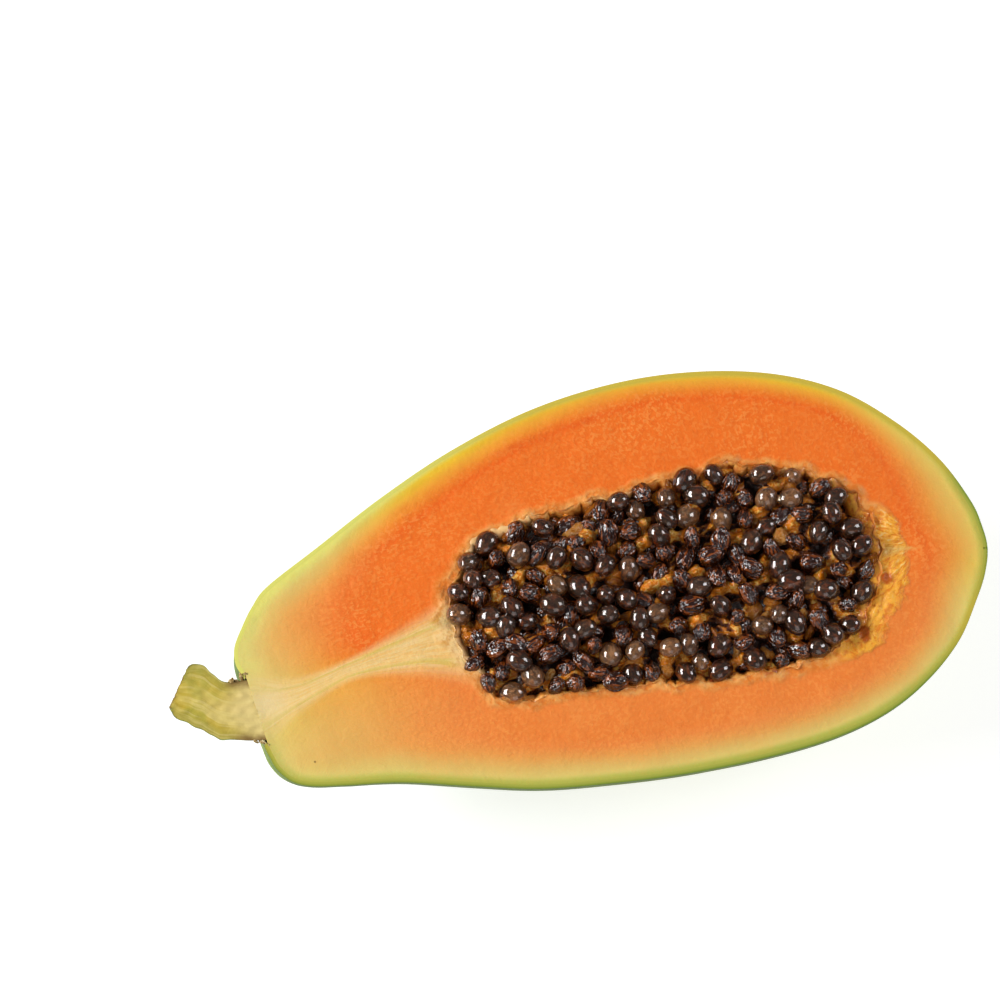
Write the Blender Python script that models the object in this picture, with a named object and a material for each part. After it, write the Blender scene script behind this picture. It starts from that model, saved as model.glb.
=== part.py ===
"""Half of a papaya, cut lengthwise through its stem and lying on its skin with the cut face up.

The long axis is X, from the stem to the blossom end. Z is up, and z = 0 is the surface that the
fruit lies on. Points on the cut face are written (along, across) in millimetres, measured from
the middle of the stem's foot, and heights from the cut face. The origin is under the middle of
the half's outer box.
"""

import math
import random

import bmesh
import bpy
import numpy as np
from mathutils import Euler, Matrix, Vector

MM = 0.001
BOX_MIDDLE = (80.4, 11.8)  # (along, across) of the middle of the half's outer box

# The fruit: each pair is a point of the upper outline and the point of the lower outline that
# faces it across the fruit, from the foot of the stem to the blossom end.
FRUIT_PAIRS = [
    ((-0.9, 9.1), (1.1, -9.1)),
    ((-1.7, 12.1), (1.8, -11.7)),
    ((-1.1, 16.0), (2.9, -15.0)),
    ((1.6, 20.4), (5.9, -18.7)),
    ((4.9, 24.7), (10.6, -20.8)),
    ((9.6, 28.9), (18.7, -22.3)),
    ((22.9, 35.6), (31.6, -24.4)),
    ((40.9, 44.6), (48.2, -28.9)),
    ((59.8, 52.4), (63.2, -32.7)),
    ((80.3, 58.1), (79.8, -34.9)),
    ((101.2, 60.3), (97.9, -36.4)),
    ((120.6, 59.1), (117.1, -36.6)),
    ((139.1, 54.7), (134.4, -35.3)),
    ((154.1, 47.3), (148.3, -31.8)),
    ((165.8, 36.6), (159.5, -26.0)),
    ((174.0, 25.5), (168.5, -18.5)),
    ((178.8, 14.4), (174.8, -9.7)),
    ((180.1, 8.0), (178.2, -3.9)),
]
BLOSSOM_TIP = (180.2, 2.0)
DEPTH_RATIO = 0.985  # how deep the half is, against half its width
BELLY_AT = 94.0  # the belly is deepest here, under the half's balance point
BELLY_LEAN = 0.0009  # share of the depth that each millimetre towards the stem adds
SHOULDER_BULGE = 2.6  # how far the shoulders reach back round the stem below the cut face
LOBES = 5  # a papaya grows from five carpels
LOBE_RELIEF = 0.35
FRUIT_RINGS = 38
RING_SIDES = 36

SKIN = 1.0
GAP = 0.3  # between neighbouring pieces
REST_FLAT_DEPTH = 1.0  # how much the belly is flattened where it lies

# The seed cavity: its edge in the cut face, anticlockwise from the blossom end.
CAVITY_EDGE = [
    (155.5, 6.9),
    (151.9, 21.8),
    (142.8, 29.5),
    (127.8, 34.6),
    (111.8, 35.4),
    (93.9, 33.6),
    (75.9, 32.8),
    (60.9, 29.3),
    (53.2, 20.8),
    (51.0, 8.9),
    (54.1, -4.0),
    (62.1, -10.9),
    (80.1, -12.1),
    (98.2, -14.9),
    (116.2, -16.6),
    (134.2, -16.1),
    (147.6, -8.9),
]
CAVITY_DEPTH = 25.0
CAVITY_SIDES = 48
CAVITY_RINGS = 5
PULP = 1.2
PULP_LIP = 0.7  # how far the ragged edge of the pulp stands over the cut face

# The seeds: egg shapes on a heap, spread by random throws that keep a distance.
SEED_LENGTH = 6.4
SEED_WIDTH = 5.4
SEED_CLEARANCE = 4.0  # from a seed's middle to the pulp
SEED_SPACING = 4.8
SEED_SIDES = 8
SEED_BANDS = 5
SEED_THROWS = 5000
SEED_DRAW = 11
HEAP_EDGE = -2.8  # height of the heap's core against the cut face, at the edge and in the middle
HEAP_MIDDLE = 0.6
HEAP_RINGS = 6
SEED_LIFT = 1.4
SEED_SCATTER = 0.6

# The stem: pairs of facing points as for the fruit, from its foot to its cut end.
STEM_PAIRS = [
    ((-0.4, 7.6), (1.4, -7.6)),
    ((-2.6, 7.8), (-2.0, -6.8)),
    ((-5.2, 8.3), (-5.4, -5.9)),
    ((-7.2, 10.5), (-8.8, -5.0)),
    ((-9.0, 13.0), (-12.0, -2.4)),
    ((-10.9, 13.9), (-15.2, 0.2)),
    ((-12.6, 13.8), (-18.0, 2.4)),
    ((-13.7, 12.7), (-19.4, 4.8)),
]
STEM_DEPTH_RATIO = 0.8
STEM_RINGS = 16
STEM_SIDES = 20
STEM_HOLE = 8.5  # radius of the opening in the skin round the stem
STEM_HOLE_DEPTH = 16.0

SKIN_GREEN = (0.13, 0.28, 0.04, 1.0)
FLESH_ORANGE = (0.87, 0.22, 0.02, 1.0)
PULP_TAN = (0.72, 0.42, 0.12, 1.0)
SEED_BROWN = (0.03, 0.016, 0.011, 1.0)
STEM_OLIVE = (0.33, 0.34, 0.08, 1.0)


def clear_scene():
    """Takes out whatever the file held before."""
    for obj in list(bpy.data.objects):
        bpy.data.objects.remove(obj)


def new_collection(name):
    """A collection under the scene's own one."""
    made = bpy.data.collections.new(name)
    bpy.context.scene.collection.children.link(made)
    return made


def material(name, colour, roughness):
    """A Principled finish in one colour."""
    made = bpy.data.materials.new(name)
    made.use_nodes = True
    shader = made.node_tree.nodes["Principled BSDF"]
    shader.inputs["Base Color"].default_value = colour
    shader.inputs["Roughness"].default_value = roughness
    shader.inputs["Metallic"].default_value = 0.0
    made.diffuse_color = colour
    return made


def through(points, count, closed=False):
    """Points on a Catmull-Rom curve through the given points, evenly spread by their numbers."""
    points = np.asarray(points, float)
    spans = len(points) if closed else len(points) - 1
    places = np.linspace(0, spans, count, endpoint=not closed)
    start = np.minimum(places.astype(int), spans - 1)
    t = (places - start)[:, None]
    if closed:
        a, b, c, d = (points[(start + step) % len(points)] for step in (-1, 0, 1, 2))
    else:
        padded = np.vstack([2 * points[0] - points[1], points, 2 * points[-1] - points[-2]])
        a, b, c, d = (padded[start + step] for step in (0, 1, 2, 3))
    square = 2 * a - 5 * b + 4 * c - d
    cube = 3 * b - a - 3 * c + d
    return 0.5 * (2 * b + (c - a) * t + square * t**2 + cube * t**3)


def moved_in(outline, distance):
    """An anticlockwise closed outline moved inwards by a distance, along its normals."""
    along = np.roll(outline, -1, axis=0) - np.roll(outline, 1, axis=0)
    along /= np.linalg.norm(along, axis=1)[:, None]
    inwards = np.stack([-along[:, 1], along[:, 0]], axis=1)
    return outline + distance * inwards


def fruit_outline(inset):
    """The upper and the lower outline of the fruit, point by point, and its tip, moved inwards."""
    lower = [pair[1] for pair in FRUIT_PAIRS]
    upper = [pair[0] for pair in FRUIT_PAIRS]
    loop = through([*lower, BLOSSOM_TIP, *reversed(upper)], 2 * FRUIT_RINGS + 1)
    loop = moved_in(loop, inset)
    return loop[:FRUIT_RINGS:-1], loop[:FRUIT_RINGS], loop[FRUIT_RINGS]


def depth_ratios(upper, lower):
    """How deep the half is against half its width, between each pair of facing points."""
    along = (upper[:, 0] + lower[:, 0]) / 2
    return DEPTH_RATIO * (1 - BELLY_LEAN * (along - BELLY_AT))


def deepest():
    """How far below the cut face the belly would reach if it weren't flattened."""
    upper, lower, _ = fruit_outline(0.0)
    return (depth_ratios(upper, lower) * np.linalg.norm(upper - lower, axis=1) / 2).max()


CUT_HEIGHT = deepest() - REST_FLAT_DEPTH
CUT_FACE = np.array([-BOX_MIDDLE[0], -BOX_MIDDLE[1], CUT_HEIGHT])  # where (0, 0) of it lies


def placed(point):
    """A point given against the cut face, in metres from the origin."""
    return Vector((np.asarray(point, float) + CUT_FACE) * MM)


def facing_rings(upper, lower, sides, depth_ratio, relief=0.0):
    """Whole rings between facing points: each is an ellipse whose width joins the two points and
    whose depth is a share of its width, with a faint lobe for each carpel."""
    turn = np.linspace(0, 2 * math.pi, sides, endpoint=False)
    middle = (upper + lower) / 2
    half = (upper - lower) / 2
    size = np.linalg.norm(half, axis=1)
    swell = 1 + relief * np.cos(LOBES * (turn - math.pi / 2)) * np.sin(turn) ** 2 / size.max()
    across = middle[:, None, :] + half[:, None, :] * (np.cos(turn) * swell)[None, :, None]
    down = -(depth_ratio * size)[:, None] * (np.sin(turn) * swell)[None, :]
    return np.dstack([across, down])


def ring_solid(name, rings, first_tip=None, last_tip=None):
    """A closed mesh over a stack of rings. Either end is drawn to a tip, or else capped flat."""
    bm = bmesh.new()
    stack = [[bm.verts.new(placed(point)) for point in ring] for ring in rings]
    sides = len(stack[0])
    for near, far in zip(stack, stack[1:]):
        for k in range(sides):
            bm.faces.new((near[k], near[(k + 1) % sides], far[(k + 1) % sides], far[k]))
    for ring, tip in ((stack[0], first_tip), (stack[-1], last_tip)):
        if tip is None:
            bm.faces.new(ring)
            continue
        point = bm.verts.new(placed(tip))
        for k in range(sides):
            bm.faces.new((ring[k], ring[(k + 1) % sides], point))
    bmesh.ops.recalc_face_normals(bm, faces=bm.faces)
    mesh = bpy.data.meshes.new(name)
    bm.to_mesh(mesh)
    bm.free()
    return bpy.data.objects.new(name, mesh)


def fruit_solid(name, inset):
    """The whole fruit as a closed solid, smaller by the inset, flattened where it lies. Near the
    stem its sides reach back below the cut face, so that the stem sits between shoulders."""
    upper, lower, tip = fruit_outline(inset)
    rings = facing_rings(upper, lower, RING_SIDES, depth_ratios(upper, lower), LOBE_RELIEF)
    along = rings[:, :, 0]
    size = np.linalg.norm(upper - lower, axis=1)[:, None] / 2
    depth = np.abs(rings[:, :, 2]) / size
    shoulder = np.clip((size - 9) / 9, 0, 1) * np.clip(1 - along / 40, 0, 1) ** 2
    rings[:, :, 0] -= SHOULDER_BULGE * shoulder * np.sin(math.pi * np.minimum(depth, 0.75) / 1.5) ** 2
    rings[:, :, 2] = np.maximum(rings[:, :, 2], inset - CUT_HEIGHT)
    return ring_solid(name, rings, last_tip=np.append(tip, 0.0))


def cavity_edge(inset):
    """The cavity's edge with its small waves, moved inwards."""
    edge = through(CAVITY_EDGE, CAVITY_SIDES, closed=True)
    turn = np.linspace(0, 2 * math.pi, CAVITY_SIDES, endpoint=False)
    waves = 0.45 * np.sin(7 * turn + 1.0) + 0.3 * np.sin(13 * turn)
    return moved_in(moved_in(edge, waves[:, None]), inset)


def bowl_ring(inset, slope):
    """One ring of the cavity's bowl: it shrinks to the middle while the depth grows."""
    edge = cavity_edge(inset)
    middle = edge.mean(axis=0)
    flat = middle + (edge - middle) * math.cos(slope) ** 0.45
    return np.hstack([flat, np.full((len(edge), 1), (inset - CAVITY_DEPTH) * math.sin(slope))])


def bowl_rings(inset, first_slope=0.0):
    """Rings of the cavity's bowl from a first one down, and its bottom."""
    slopes = np.linspace(first_slope, math.pi / 2, CAVITY_RINGS + 1)[:-1]
    middle = cavity_edge(inset).mean(axis=0)
    return [bowl_ring(inset, slope) for slope in slopes], np.append(middle, inset - CAVITY_DEPTH)


def bowl_solid(name, inset, top):
    """A closed solid that fills the bowl up to a height over the cut face, given point by point."""
    rings, bottom = bowl_rings(inset)
    lid = rings[0].copy()
    lid[:, 2] = top
    return ring_solid(name, [lid, *rings], last_tip=bottom)


def heap_solid(name):
    """The heap's core: it fills the pulp's bowl below and is domed on top."""
    inset = 2 * GAP + PULP
    below, bottom = bowl_rings(inset, math.asin(HEAP_EDGE / (inset - CAVITY_DEPTH)))
    edge = below[0][:, :2]
    middle = edge.mean(axis=0)
    dome = []
    for out in np.linspace(0, 1, HEAP_RINGS + 1)[1:-1]:
        flat = middle + (edge - middle) * out
        dome.append(np.hstack([flat, np.full((len(edge), 1), heap_height(out))]))
    return ring_solid(name, [*dome, *below], np.append(middle, heap_height(0.0)), bottom)


def box_solid(name, low, high):
    """A cutter box between two corners given against the cut face."""
    bm = bmesh.new()
    bmesh.ops.create_cube(bm, size=1.0)
    bmesh.ops.scale(bm, vec=placed(high) - placed(low), verts=bm.verts)
    bmesh.ops.translate(bm, vec=(placed(high) + placed(low)) / 2, verts=bm.verts)
    mesh = bpy.data.meshes.new(name)
    bm.to_mesh(mesh)
    bm.free()
    return bpy.data.objects.new(name, mesh)


def stem_plug():
    """A cutter along the stem's foot that opens the skin round it."""
    foot_upper, foot_lower = (np.array(point) for point in FRUIT_PAIRS[0])
    middle = (foot_upper + foot_lower) / 2
    across = foot_upper - foot_lower
    turn = math.atan2(across[1], across[0]) - math.pi / 2
    bm = bmesh.new()
    bmesh.ops.create_cone(
        bm,
        cap_ends=True,
        segments=28,
        radius1=STEM_HOLE * MM,
        radius2=STEM_HOLE * MM,
        depth=STEM_HOLE_DEPTH * MM,
    )
    mesh = bpy.data.meshes.new("stem_plug")
    bm.to_mesh(mesh)
    bm.free()
    plug = bpy.data.objects.new("stem_plug", mesh)
    plug.matrix_world = (
        Matrix.Translation(placed((*middle, 0.0)))
        @ Matrix.Rotation(turn, 4, "Z")
        @ Matrix.Rotation(math.pi / 2, 4, "Y")
    )
    return plug


def cut(obj, cutter, cutters):
    """Takes the cutter's shape away from obj with a Boolean modifier."""
    cutters.objects.link(cutter)
    cutter.hide_render = True
    cutter.display_type = "WIRE"
    modifier = obj.modifiers.new(f"cut_{cutter.name}", "BOOLEAN")
    modifier.operation = "DIFFERENCE"
    modifier.solver = "EXACT"
    modifier.object = cutter


def knife(name):
    """The part of space over the cut face."""
    return box_solid(name, (-60, -90, 0), (240, 120, 120))


def make_skin(parts, cutters):
    """The thin green skin: the fruit's outside less its inside, open at the stem, cut in half."""
    skin = fruit_solid("skin", 0.0)
    parts.objects.link(skin)
    cut(skin, fruit_solid("skin_inside", SKIN), cutters)
    cut(skin, stem_plug(), cutters)
    cut(skin, knife("skin_knife"), cutters)
    return skin


def make_flesh(parts, cutters):
    """The orange flesh, with the seed cavity open at the cut face."""
    flesh = fruit_solid("flesh", SKIN + GAP)
    parts.objects.link(flesh)
    cut(flesh, bowl_solid("cavity", 0.0, 8.0), cutters)
    cut(flesh, knife("flesh_knife"), cutters)
    return flesh


def make_pulp(parts, cutters):
    """The stringy tan pulp that lines the cavity, with a ragged lip."""
    turn = np.linspace(0, 2 * math.pi, CAVITY_SIDES, endpoint=False)
    ragged = 0.5 + 0.3 * np.sin(11 * turn) + 0.2 * np.sin(17 * turn + 2.0)
    pulp = bowl_solid("pulp", GAP, PULP_LIP * ragged)
    parts.objects.link(pulp)
    cut(pulp, bowl_solid("pulp_inside", GAP + PULP, 8.0), cutters)
    return pulp


def inside(point, outline):
    """Whether a point is inside a closed outline, by the crossings of a ray."""
    x, y = point
    ax, ay = outline[:, 0], outline[:, 1]
    bx, by = np.roll(ax, -1), np.roll(ay, -1)
    crosses = (ay > y) != (by > y)
    reach = ax + (y - ay) * (bx - ax) / np.where(by == ay, 1.0, by - ay)
    return bool((crosses & (x < reach)).sum() % 2)


def seed_places():
    """Where each seed lies: (along, across, how far out from 0 in the middle to 1, a draw)."""
    draw = random.Random(SEED_DRAW)
    bed = cavity_edge(2 * GAP + PULP)
    reach = cavity_edge(2 * GAP + PULP + SEED_CLEARANCE)
    middle = bed.mean(axis=0)
    rays = bed - middle
    turns = np.arctan2(rays[:, 1], rays[:, 0])
    low, high = reach.min(axis=0), reach.max(axis=0)
    places = []
    for _ in range(SEED_THROWS):
        spot = np.array([draw.uniform(low[0], high[0]), draw.uniform(low[1], high[1])])
        if not inside(spot, reach):
            continue
        if any(np.linalg.norm(spot - other[:2]) < SEED_SPACING for other in places):
            continue
        ray = spot - middle
        turn = math.atan2(ray[1], ray[0])
        full = np.interp(turn, turns, np.linalg.norm(rays, axis=1), period=2 * math.pi)
        places.append(np.array([*spot, np.linalg.norm(ray) / full, draw.random()]))
    return places


def heap_height(out):
    """Height of the heap's core over the cut face, from the middle to the edge."""
    return HEAP_EDGE + (HEAP_MIDDLE - HEAP_EDGE) * (1 - out**2)


def make_seeds(parts):
    """The dark seeds: egg shapes fused to a heap that fills the pulp's bowl."""
    heap = heap_solid("seeds")
    parts.objects.link(heap)
    eggs = new_collection("seed_eggs")
    bm = bmesh.new()
    bmesh.ops.create_uvsphere(bm, u_segments=SEED_SIDES, v_segments=SEED_BANDS, radius=1.0)
    stretch = Vector((SEED_WIDTH, SEED_WIDTH, SEED_LENGTH)) * MM / 2
    bmesh.ops.scale(bm, vec=stretch, verts=bm.verts)
    egg = bpy.data.meshes.new("seed_egg")
    bm.to_mesh(egg)
    bm.free()
    draw = random.Random(SEED_DRAW + 1)
    for number, (along, across, out, lot) in enumerate(seed_places()):
        height = heap_height(out) + SEED_LIFT + SEED_SCATTER * (2 * lot - 1)
        seed = bpy.data.objects.new(f"seed_{number}", egg)
        seed.location = placed((along, across, height))
        seed.rotation_euler = Euler([draw.uniform(0, math.pi) for _ in range(3)])
        seed.scale = [draw.uniform(0.9, 1.04)] * 3
        eggs.objects.link(seed)
    fuse(heap, eggs)
    return heap


def fuse(obj, others):
    """One solid of obj and everything in a collection, which is then removed."""
    modifier = obj.modifiers.new("fuse", "BOOLEAN")
    modifier.operation = "UNION"
    modifier.solver = "EXACT"
    modifier.operand_type = "COLLECTION"
    modifier.collection = others
    bpy.context.view_layer.update()
    graph = bpy.context.evaluated_depsgraph_get()
    joined = bpy.data.meshes.new_from_object(obj.evaluated_get(graph))
    obj.modifiers.clear()
    obj.data = joined
    for other in list(others.objects):
        bpy.data.objects.remove(other)
    bpy.data.collections.remove(others)


def make_stem(parts, cutters):
    """The short woody stem, cut in half with the fruit."""
    upper = through([pair[0] for pair in STEM_PAIRS], STEM_RINGS)
    lower = through([pair[1] for pair in STEM_PAIRS], STEM_RINGS)
    depth_ratio = np.full(STEM_RINGS, STEM_DEPTH_RATIO)
    stem = ring_solid("stem", facing_rings(upper, lower, STEM_SIDES, depth_ratio))
    parts.objects.link(stem)
    cut(stem, knife("stem_knife"), cutters)
    return stem


def finish(obj, look):
    """Gives a piece its finish, and smooth shading except at its cut edges."""
    obj.data.materials.clear()
    obj.data.materials.append(look)
    obj.data.shade_smooth()
    obj.data.set_sharp_from_angle(angle=math.radians(40))


def main():
    clear_scene()
    parts = new_collection("papaya_half")
    cutters = new_collection("papaya_cutters")
    finish(make_skin(parts, cutters), material("skin", SKIN_GREEN, 0.45))
    finish(make_flesh(parts, cutters), material("flesh", FLESH_ORANGE, 0.4))
    finish(make_pulp(parts, cutters), material("pulp", PULP_TAN, 0.5))
    finish(make_seeds(parts), material("seeds", SEED_BROWN, 0.2))
    finish(make_stem(parts, cutters), material("stem", STEM_OLIVE, 0.6))


main()
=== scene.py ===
"""The look of the papaya half: skin, flesh, pulp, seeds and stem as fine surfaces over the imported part.

Points on the cut face are written (along, across) in millimetres from the middle of the stem's
foot, and heights from the cut face, as in the part's own source.
"""

import math

import bpy
import numpy as np
from mathutils import Euler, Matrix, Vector


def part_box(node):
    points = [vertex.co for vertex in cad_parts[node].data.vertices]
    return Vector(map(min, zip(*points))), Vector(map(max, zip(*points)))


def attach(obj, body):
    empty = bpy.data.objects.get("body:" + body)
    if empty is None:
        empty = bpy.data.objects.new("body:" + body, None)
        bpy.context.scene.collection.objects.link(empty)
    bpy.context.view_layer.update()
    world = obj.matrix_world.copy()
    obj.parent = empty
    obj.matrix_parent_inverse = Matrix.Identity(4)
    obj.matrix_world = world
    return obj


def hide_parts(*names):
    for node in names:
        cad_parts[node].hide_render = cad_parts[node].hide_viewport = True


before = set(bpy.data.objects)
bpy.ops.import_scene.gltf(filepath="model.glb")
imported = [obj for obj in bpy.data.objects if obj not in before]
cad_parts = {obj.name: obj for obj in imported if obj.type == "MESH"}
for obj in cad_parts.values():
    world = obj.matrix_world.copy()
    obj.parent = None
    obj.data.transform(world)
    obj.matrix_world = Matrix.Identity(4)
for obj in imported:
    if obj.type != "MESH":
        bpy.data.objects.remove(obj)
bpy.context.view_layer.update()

MM = 0.001
BOX_MIDDLE = (80.4, 11.8)
CUT_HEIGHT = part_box("flesh")[1][2] / MM
CUT_FACE = np.array([-BOX_MIDDLE[0], -BOX_MIDDLE[1], CUT_HEIGHT])

# The fruit: facing points of its upper and lower outline, from the foot of the stem on.
FRUIT_PAIRS = [
    ((-0.9, 9.1), (1.1, -9.1)), ((-1.7, 12.1), (1.8, -11.7)), ((-1.1, 16.0), (2.9, -15.0)),
    ((1.6, 20.4), (5.9, -18.7)), ((4.9, 24.7), (10.6, -20.8)), ((9.6, 28.9), (18.7, -22.3)),
    ((22.9, 35.6), (31.6, -24.4)), ((40.9, 44.6), (48.2, -28.9)), ((59.8, 52.4), (63.2, -32.7)),
    ((80.3, 58.1), (79.8, -34.9)), ((101.2, 60.3), (97.9, -36.4)), ((120.6, 59.1), (117.1, -36.6)),
    ((139.1, 54.7), (134.4, -35.3)), ((154.1, 47.3), (148.3, -31.8)), ((165.8, 36.6), (159.5, -26.0)),
    ((174.0, 25.5), (168.5, -18.5)), ((178.8, 14.4), (174.8, -9.7)), ((180.1, 8.0), (178.2, -3.9)),
]
BLOSSOM_TIP = (180.2, 2.0)
DEPTH_RATIO = 0.985
BELLY_AT = 94.0
BELLY_LEAN = 0.0009
SHOULDER_BULGE = 2.6 * 0.8  # the solid's, drawn in a little so that the fine skin stays inside it
LOBES = 5
LOBE_RELIEF = 0.35
SKIN = 1.0
STEM_HOLE = 7.75
CLEAR = 0.07  # how far the fine skin stays inside the solid one

# The seed cavity: its edge in the cut face, anticlockwise from the blossom end.
CAVITY_EDGE = [
    (155.5, 6.9), (151.9, 21.8), (142.8, 29.5), (127.8, 34.6), (111.8, 35.4), (93.9, 33.6),
    (75.9, 32.8), (60.9, 29.3), (53.2, 20.8), (51.0, 8.9), (54.1, -4.0), (62.1, -10.9),
    (80.1, -12.1), (98.2, -14.9), (116.2, -16.6), (134.2, -16.1), (147.6, -8.9),
]
PULP = 1.2

STEM_PAIRS = [
    ((0.4, 7.6), (2.2, -7.6)), ((-2.6, 7.8), (-2.0, -6.8)), ((-5.2, 8.3), (-5.4, -5.9)),
    ((-7.2, 10.5), (-8.8, -5.0)), ((-9.0, 13.0), (-12.0, -2.4)), ((-10.9, 13.9), (-15.2, 0.2)),
    ((-12.6, 13.8), (-18.0, 2.4)), ((-13.7, 12.7), (-19.4, 4.8)),
]
STEM_DEPTH_RATIO = 0.8

# Marks on the cut face: where the strands from the stem to the cavity run and half their bundle's
# width, the point that the strings of the gel at the blossom end run to, a dark speck, and deep
# stains in the gel, each by its middle and its half sizes along and across.
FAN_MIDDLE = [(-20, 1.5), (0, 0.3), (11, 1.35), (25, 4.9), (39.5, 6.5), (49, 6.9), (58, 7.2)]
FAN_HALF = [(-20, 5.0), (0, 5.2), (11, 2.5), (25, 1.6), (39.5, 3.4), (49, 5.4), (58, 8.0)]
GEL_TIP = (166.0, 7.0)
SPECK = (12.2, -15.1)
DEEP_STAINS = [(154.8, 0.0, 2.0, 2.0), (146.8, -12.2, 1.5, 2.8)]

# Seeds and the scraps of pulp between them: half sizes, the long way first.
COATED_SEED = (3.4, 2.8, 2.8)
BARE_SEED = (3.25, 2.45, 2.35)
HIDDEN_SEED = (3.1, 2.5, 2.45)
SCRAP = (2.9, 2.2, 1.3)
COATED_SHARE = 0.48
HIGHEST_MIDDLE = 1.95  # of a seed, above the cut face
WHOLE_TURN = 6.28  # for random draws

# The camera looks down on the cut face from 12 degrees off square.
CAMERA_AZIMUTH = -12.055
CAMERA_ELEVATION = 78.0
CAMERA_DISTANCE = 1.2
CAMERA_LENS = 180.04
LOOKED_AT = (68.39, 37.85)  # the point of the cut face in the middle of the picture

# Soft boxes: watts, width and height in metres, place and colour.
SOFT_BOXES = {
    "key": (25.5, (1.1, 0.5), (-1.12, 0.42, 0.78), (1.0, 1.0, 1.0)),
    "fill": (7.8, (0.6, 0.6), (1.05, 0.05, 0.9), (0.98, 0.97, 1.0)),
    "low": (2.0, (0.8, 0.8), (0.0, -1.1, 0.7), (1.0, 1.0, 1.0)),
}
ROOM_LIGHT = 0.14


# Shapes

def placed(points):
    """Points given against the cut face, in metres from the part's origin."""
    return (points + CUT_FACE) * MM


def through(points, count, closed=False):
    """Points on a Catmull-Rom curve through the given points, evenly spread by their numbers."""
    points = np.asarray(points, float)
    spans = len(points) if closed else len(points) - 1
    places = np.linspace(0, spans, count, endpoint=not closed)
    start = np.minimum(places.astype(int), spans - 1)
    t = (places - start)[:, None]
    if closed:
        a, b, c, d = (points[(start + step) % len(points)] for step in (-1, 0, 1, 2))
    else:
        padded = np.vstack([2 * points[0] - points[1], points, 2 * points[-1] - points[-2]])
        a, b, c, d = (padded[start + step] for step in (0, 1, 2, 3))
    square = 2 * a - 5 * b + 4 * c - d
    cube = 3 * b - a - 3 * c + d
    return 0.5 * (2 * b + (c - a) * t + square * t**2 + cube * t**3)


def by_length(curve, count, closed=False):
    """The same curve with its points spread evenly by length."""
    if closed:
        curve = np.vstack([curve, curve[:1]])
    steps = np.linalg.norm(np.diff(curve, axis=0), axis=1)
    run = np.concatenate([[0], np.cumsum(steps)])
    at = np.linspace(0, run[-1], count, endpoint=not closed)
    return np.stack([np.interp(at, run, curve[:, k]) for k in range(curve.shape[1])], axis=1)


def level(outline, height):
    """A flat outline at a height, or at a height for each of its points."""
    return np.column_stack([outline, np.broadcast_to(height, len(outline))])


def drawn_in(outline, share):
    """An outline shrunk to a share of its size about its middle."""
    middle = outline.mean(axis=0)
    return middle + (outline - middle) * share


def moved_in(outline, distance):
    """An anticlockwise closed outline moved inwards by a distance, along its normals."""
    along = np.roll(outline, -1, axis=0) - np.roll(outline, 1, axis=0)
    along /= np.linalg.norm(along, axis=1)[:, None]
    return outline + np.reshape(distance, (-1, 1)) * np.stack([-along[:, 1], along[:, 0]], axis=1)


def smooth_step(x, low, high):
    """0 below low, 1 above high, and a smooth rise between them."""
    x = np.clip((x - low) / (high - low), 0, 1)
    return x * x * (3 - 2 * x)


def ripples(points, size, seed, waves=14):
    """A smooth random field of about -1 to 1: a sum of sines whose length is about the size."""
    draw = np.random.default_rng(seed)
    heading = draw.normal(size=(waves, points.shape[-1]))
    heading /= np.linalg.norm(heading, axis=1)[:, None]
    length = size * draw.uniform(0.6, 1.7, waves)
    phase = draw.uniform(0, 2 * math.pi, waves)
    field = sum(
        np.sin(points @ (heading[k] * 2 * math.pi / length[k]) + phase[k]) for k in range(waves)
    )
    return field * math.sqrt(2 / waves) / 1.4


def hold(mesh, fields, points):
    """Keeps fields, numbers or vectors given for each of so many points, as attributes of a mesh."""
    for key, values in fields.items():
        values = values.reshape(points, -1).astype(np.float32)
        flat = values.shape[1] == 1
        held = mesh.attributes.new(key, "FLOAT" if flat else "FLOAT_VECTOR", "POINT")
        held.data.foreach_set("value" if flat else "vector", values.ravel())


def surface(name, grid, fields, first_pole=None, last_pole=None):
    """A closed mesh over a grid of points whose rows are closed rings. Each end of the stack of
    rings is drawn to a pole. Fields are numbers or vectors given for each point of the grid."""
    rows, sides = grid.shape[:2]
    number = np.arange(rows * sides).reshape(rows, sides)
    right = np.roll(number, -1, axis=1)
    quads = np.stack([number[:-1], right[:-1], right[1:], number[1:]], axis=-1).reshape(-1, 4)
    points = [grid.reshape(-1, 3)]
    triangles = []
    for pole, ends, turned in ((first_pole, 0, True), (last_pole, rows - 1, False)):
        pole = grid[ends].mean(axis=0) if pole is None else np.asarray(pole, float)
        tip = np.full(sides, sum(len(p) for p in points))
        points.append(pole[None])
        edge = [right[ends], number[ends]] if turned else [number[ends], right[ends]]
        triangles.append(np.stack([*edge, tip], axis=1))
    points = np.vstack(points)
    triangles = np.vstack(triangles)
    split = np.vstack([quads[:, [0, 1, 2]], quads[:, [0, 2, 3]], triangles])
    a, b, c = (points[split[:, k]] for k in range(3))
    if np.einsum("ij,ij->", np.cross(a, b), c) < 0:
        quads, triangles = quads[:, ::-1], triangles[:, ::-1]
    mesh = bpy.data.meshes.new(name)
    mesh.from_pydata(placed(points).tolist(), [], quads.tolist() + triangles.tolist())
    mesh.shade_smooth()
    mesh.set_sharp_from_angle(angle=math.radians(50))
    spread = {}
    for key, values in fields.items():
        values = values.reshape(rows * sides, -1)
        ends = [values[:sides].mean(axis=0)[None], values[-sides:].mean(axis=0)[None]]
        spread[key] = np.vstack([values, *ends])
    hold(mesh, spread, rows * sides + 2)
    return shown(name, mesh)


def shown(name, mesh):
    """A mesh as an object in the scene."""
    made = bpy.data.objects.new(name, mesh)
    bpy.context.scene.collection.objects.link(made)
    return made


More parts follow.
